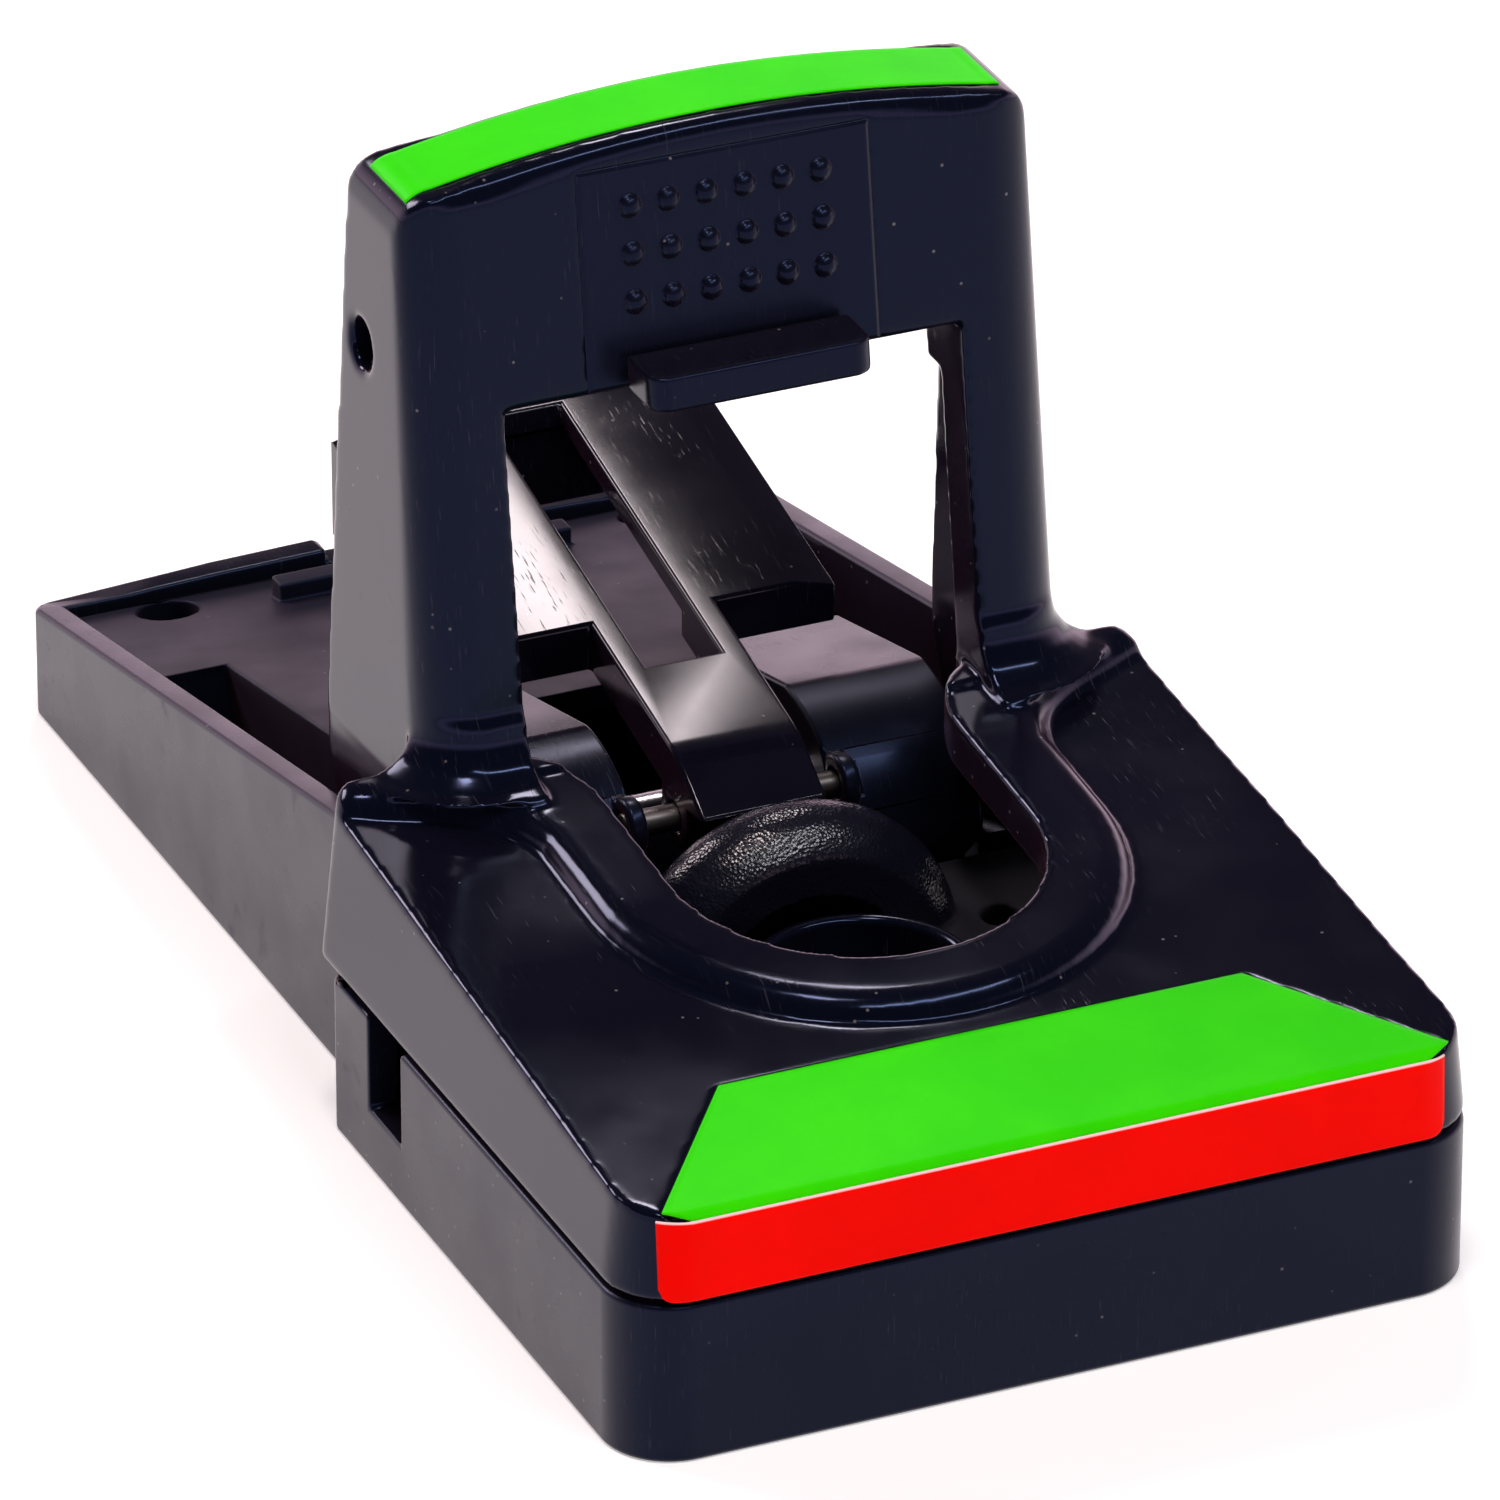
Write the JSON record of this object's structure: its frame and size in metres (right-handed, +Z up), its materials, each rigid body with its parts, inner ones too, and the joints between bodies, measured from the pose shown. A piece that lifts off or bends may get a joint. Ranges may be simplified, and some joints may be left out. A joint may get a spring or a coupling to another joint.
{
  "type": "snap mouse trap",
  "caption": "Press-to-set snap mouse trap: moulded base with a sloping rear tray, a press pedal that rises into an upright striking frame, a treadle trigger and a bait cup.",
  "frame": {"origin": "middle of the bounding box's bottom face, on the surface the trap stands on", "axes": "+X to the right as seen from the pedal, +Y from the pedal's front towards the rear tray, +Z up"},
  "size_m": [0.0508, 0.0952, 0.0554],
  "materials": {
    "black_plastic": "moulded, satin",
    "glossy_black_plastic": "moulded, semi-gloss",
    "textured_black_plastic": "moulded, leather texture",
    "zinc_plated_steel": "bright wire",
    "spring_steel": "drawn wire",
    "green_vinyl": "printed vinyl, plain",
    "red_vinyl": "printed vinyl, plain"
  },
  "bodies": {
    "base": {"base_tub": "black_plastic", "tray_deck": "black_plastic", "spring_cover_left": "black_plastic", "spring_cover_right": "black_plastic", "bait_hood": "textured_black_plastic", "main_axle": "zinc_plated_steel", "axle_clip_left": "zinc_plated_steel", "axle_clip_right": "zinc_plated_steel", "jaw_spring_left": "spring_steel", "jaw_spring_right": "spring_steel", "treadle_pin": "zinc_plated_steel", "catch_pin": "zinc_plated_steel"},
    "jaw": {"jaw_lever": "glossy_black_plastic", "grip_pad": "black_plastic", "finger_ledge": "black_plastic", "top_label": "green_vinyl", "pedal_label": "green_vinyl", "front_label": "red_vinyl"},
    "treadle": {"treadle": "glossy_black_plastic"},
    "catch": {"catch_yoke": "black_plastic"},
    "cup": {"bait_cup": "black_plastic"}
  },
  "joints": [
    {"name": "jaw_hinge", "type": "hinge", "parent": "base", "child": "jaw", "pos_m": [0, 0.00215, 0.0108], "axis": [-1, 0, 0], "range_deg": [0, 83]},
    {"name": "treadle_hinge", "type": "hinge", "parent": "base", "child": "treadle", "pos_m": [0, -0.00405, 0.0139], "axis": [-1, 0, 0], "range_deg": [0, 6], "stiffness_Nm_per_rad": 0.01, "springref_deg": -5.73},
    {"name": "catch_hinge", "type": "hinge", "parent": "base", "child": "catch", "pos_m": [0, -0.00475, 0.0046], "axis": [-1, 0, 0], "range_deg": [-3.6, 0]},
    {"name": "cup_twist", "type": "hinge", "parent": "base", "child": "cup", "pos_m": [0, -0.02145, 0], "axis": [0, 0, 1], "range_deg": [0, 60]}
  ],
  "couplings": [
    {"joint": "catch_hinge", "follows": "treadle_hinge", "ratio": -0.6}
  ]
}
